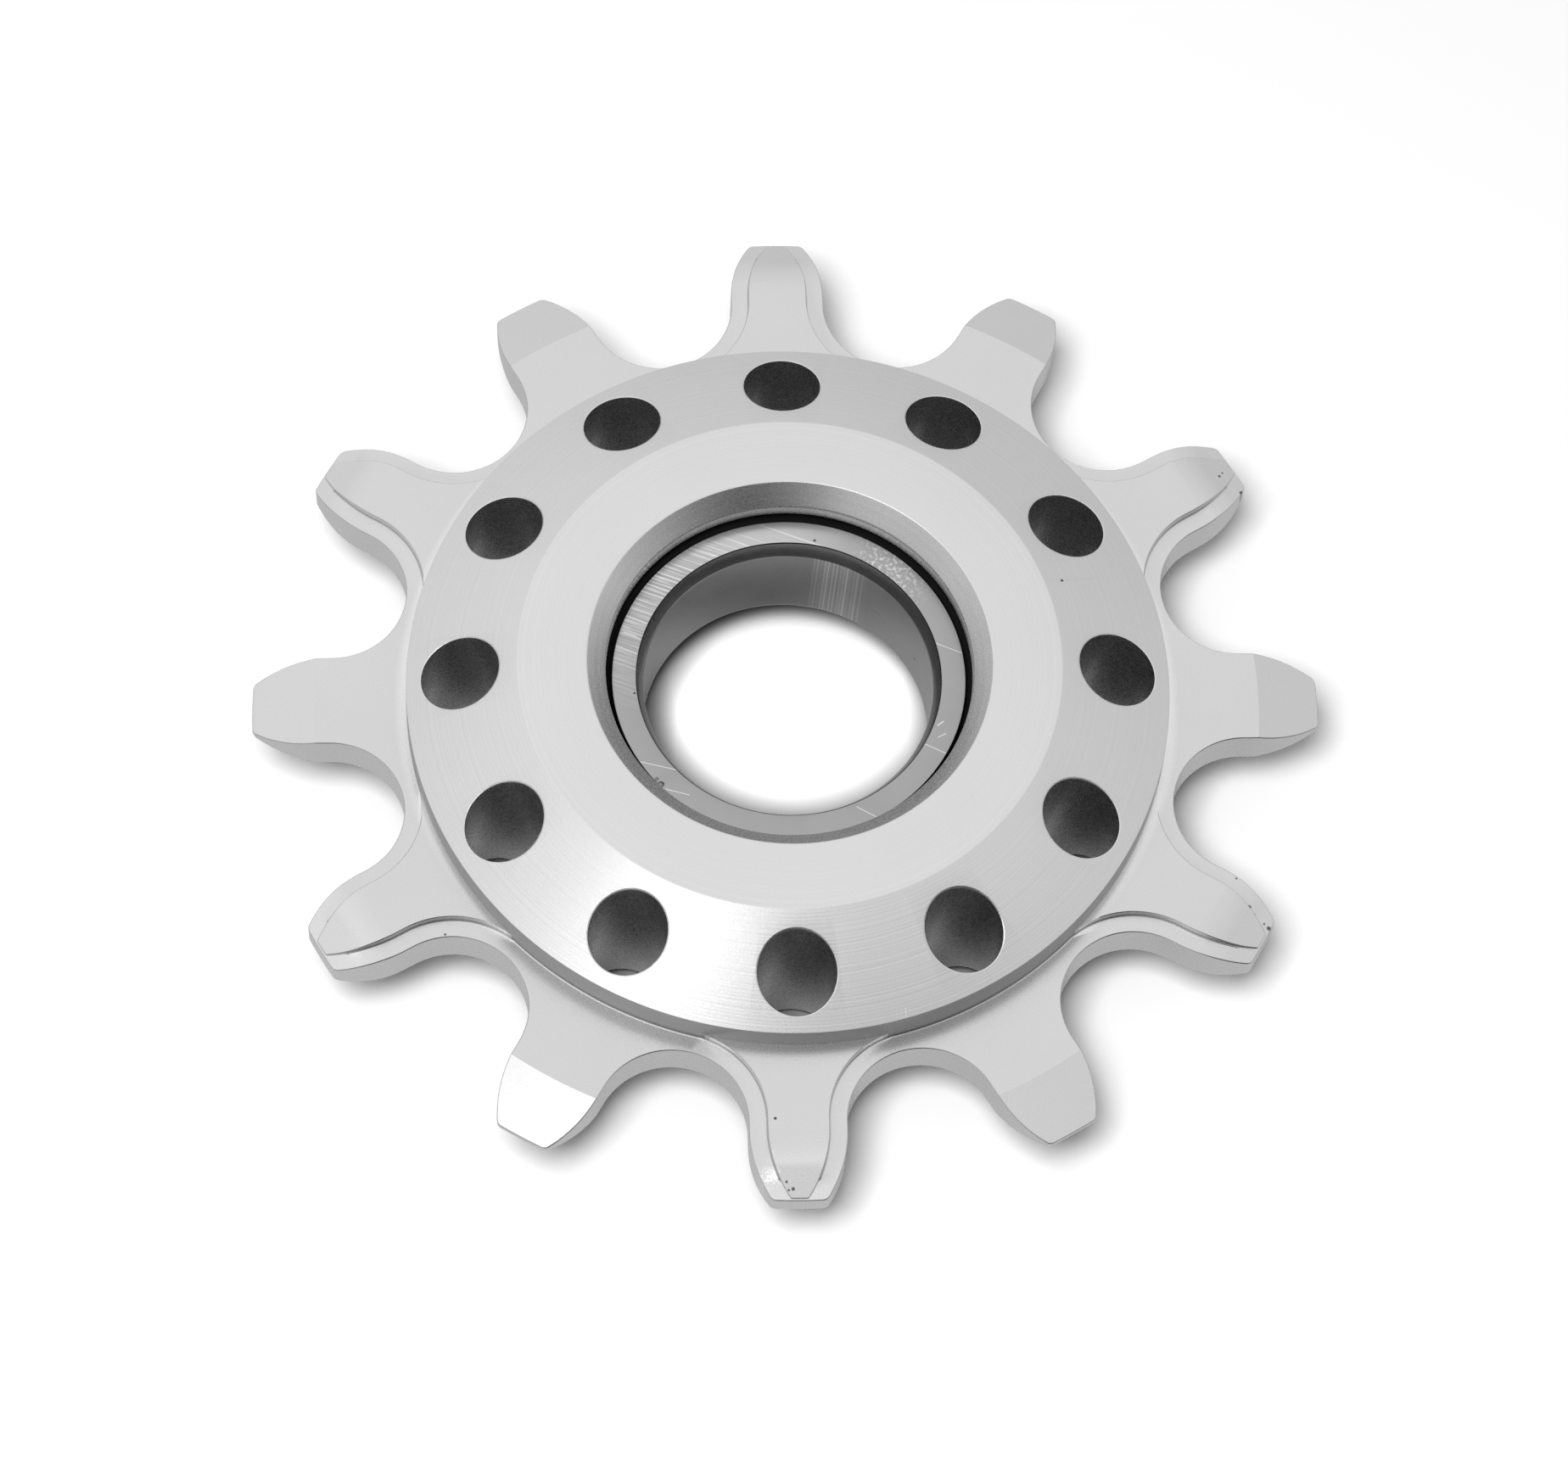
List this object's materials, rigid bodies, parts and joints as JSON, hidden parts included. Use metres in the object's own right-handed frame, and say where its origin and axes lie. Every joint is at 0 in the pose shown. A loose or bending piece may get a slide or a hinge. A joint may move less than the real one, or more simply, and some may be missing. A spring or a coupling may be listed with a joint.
{
  "type": "chain guide pulley",
  "caption": "Toothed aluminium idler wheel with alternating narrow and wide teeth, a domed hub pierced by a ring of holes, and a sealed ball bearing for its axle.",
  "frame": {"origin": "centre of the hub's back face, which is the bottom centre of the whole part", "axes": "+Z along the axle's line, from the back face towards the front face with the lip; +X towards the tip of a narrow tooth"},
  "size_m": [0.0556, 0.0556, 0.011],
  "materials": {
    "anodised_aluminium": "satin",
    "ground_steel": "ground",
    "polished_steel": "polished",
    "spring_steel": "phosphated",
    "seal_rubber": "matte",
    "cage_nylon": "moulded"
  },
  "bodies": {
    "axle_side": {"bearing_inner_ring": "ground_steel"},
    "pulley": {"pulley_body": "anodised_aluminium", "bearing_outer_ring": "ground_steel", "front_seal": "seal_rubber", "rear_seal": "seal_rubber", "retaining_ring": "spring_steel"},
    "cage": {"ball_cage": "cage_nylon"},
    "ball_01": {"ball_01": "polished_steel"},
    "ball_02": {"ball_02": "polished_steel"},
    "ball_03": {"ball_03": "polished_steel"},
    "ball_04": {"ball_04": "polished_steel"},
    "ball_05": {"ball_05": "polished_steel"},
    "ball_06": {"ball_06": "polished_steel"},
    "ball_07": {"ball_07": "polished_steel"},
    "ball_08": {"ball_08": "polished_steel"},
    "ball_09": {"ball_09": "polished_steel"},
    "ball_10": {"ball_10": "polished_steel"},
    "ball_11": {"ball_11": "polished_steel"},
    "ball_12": {"ball_12": "polished_steel"},
    "ball_13": {"ball_13": "polished_steel"},
    "ball_14": {"ball_14": "polished_steel"},
    "ball_15": {"ball_15": "polished_steel"}
  },
  "joints": [
    {"name": "pulley_spin", "type": "hinge", "parent": "axle_side", "child": "pulley", "pos_m": [0, 0, 0.0055], "axis": [0, 0, 1], "continuous": true},
    {"name": "cage_orbit", "type": "hinge", "parent": "axle_side", "child": "cage", "pos_m": [0, 0, 0.0055], "axis": [0, 0, 1], "continuous": true},
    {"name": "ball_01_roll", "type": "hinge", "parent": "cage", "child": "ball_01", "pos_m": [0.00975, 0, 0.0055], "axis": [0, 0, 1], "continuous": true},
    {"name": "ball_02_roll", "type": "hinge", "parent": "cage", "child": "ball_02", "pos_m": [0.00891, 0.00397, 0.0055], "axis": [0, 0, 1], "continuous": true},
    {"name": "ball_03_roll", "type": "hinge", "parent": "cage", "child": "ball_03", "pos_m": [0.00652, 0.00725, 0.0055], "axis": [0, 0, 1], "continuous": true},
    {"name": "ball_04_roll", "type": "hinge", "parent": "cage", "child": "ball_04", "pos_m": [0.00301, 0.00927, 0.0055], "axis": [0, 0, 1], "continuous": true},
    {"name": "ball_05_roll", "type": "hinge", "parent": "cage", "child": "ball_05", "pos_m": [-0.00102, 0.0097, 0.0055], "axis": [0, 0, 1], "continuous": true},
    {"name": "ball_06_roll", "type": "hinge", "parent": "cage", "child": "ball_06", "pos_m": [-0.00487, 0.00844, 0.0055], "axis": [0, 0, 1], "continuous": true},
    {"name": "ball_07_roll", "type": "hinge", "parent": "cage", "child": "ball_07", "pos_m": [-0.00789, 0.00573, 0.0055], "axis": [0, 0, 1], "continuous": true},
    {"name": "ball_08_roll", "type": "hinge", "parent": "cage", "child": "ball_08", "pos_m": [-0.00954, 0.00203, 0.0055], "axis": [0, 0, 1], "continuous": true},
    {"name": "ball_09_roll", "type": "hinge", "parent": "cage", "child": "ball_09", "pos_m": [-0.00954, -0.00203, 0.0055], "axis": [0, 0, 1], "continuous": true},
    {"name": "ball_10_roll", "type": "hinge", "parent": "cage", "child": "ball_10", "pos_m": [-0.00789, -0.00573, 0.0055], "axis": [0, 0, 1], "continuous": true},
    {"name": "ball_11_roll", "type": "hinge", "parent": "cage", "child": "ball_11", "pos_m": [-0.00487, -0.00844, 0.0055], "axis": [0, 0, 1], "continuous": true},
    {"name": "ball_12_roll", "type": "hinge", "parent": "cage", "child": "ball_12", "pos_m": [-0.00102, -0.0097, 0.0055], "axis": [0, 0, 1], "continuous": true},
    {"name": "ball_13_roll", "type": "hinge", "parent": "cage", "child": "ball_13", "pos_m": [0.00301, -0.00927, 0.0055], "axis": [0, 0, 1], "continuous": true},
    {"name": "ball_14_roll", "type": "hinge", "parent": "cage", "child": "ball_14", "pos_m": [0.00652, -0.00725, 0.0055], "axis": [0, 0, 1], "continuous": true},
    {"name": "ball_15_roll", "type": "hinge", "parent": "cage", "child": "ball_15", "pos_m": [0.00891, -0.00397, 0.0055], "axis": [0, 0, 1], "continuous": true}
  ],
  "couplings": [
    {"joint": "cage_orbit", "follows": "pulley_spin", "ratio": 0.56105},
    {"joint": "ball_01_roll", "follows": "pulley_spin", "ratio": 4.0339},
    {"joint": "ball_02_roll", "follows": "pulley_spin", "ratio": 4.0339},
    {"joint": "ball_03_roll", "follows": "pulley_spin", "ratio": 4.0339},
    {"joint": "ball_04_roll", "follows": "pulley_spin", "ratio": 4.0339},
    {"joint": "ball_05_roll", "follows": "pulley_spin", "ratio": 4.0339},
    {"joint": "ball_06_roll", "follows": "pulley_spin", "ratio": 4.0339},
    {"joint": "ball_07_roll", "follows": "pulley_spin", "ratio": 4.0339},
    {"joint": "ball_08_roll", "follows": "pulley_spin", "ratio": 4.0339},
    {"joint": "ball_09_roll", "follows": "pulley_spin", "ratio": 4.0339},
    {"joint": "ball_10_roll", "follows": "pulley_spin", "ratio": 4.0339},
    {"joint": "ball_11_roll", "follows": "pulley_spin", "ratio": 4.0339},
    {"joint": "ball_12_roll", "follows": "pulley_spin", "ratio": 4.0339},
    {"joint": "ball_13_roll", "follows": "pulley_spin", "ratio": 4.0339},
    {"joint": "ball_14_roll", "follows": "pulley_spin", "ratio": 4.0339},
    {"joint": "ball_15_roll", "follows": "pulley_spin", "ratio": 4.0339}
  ]
}
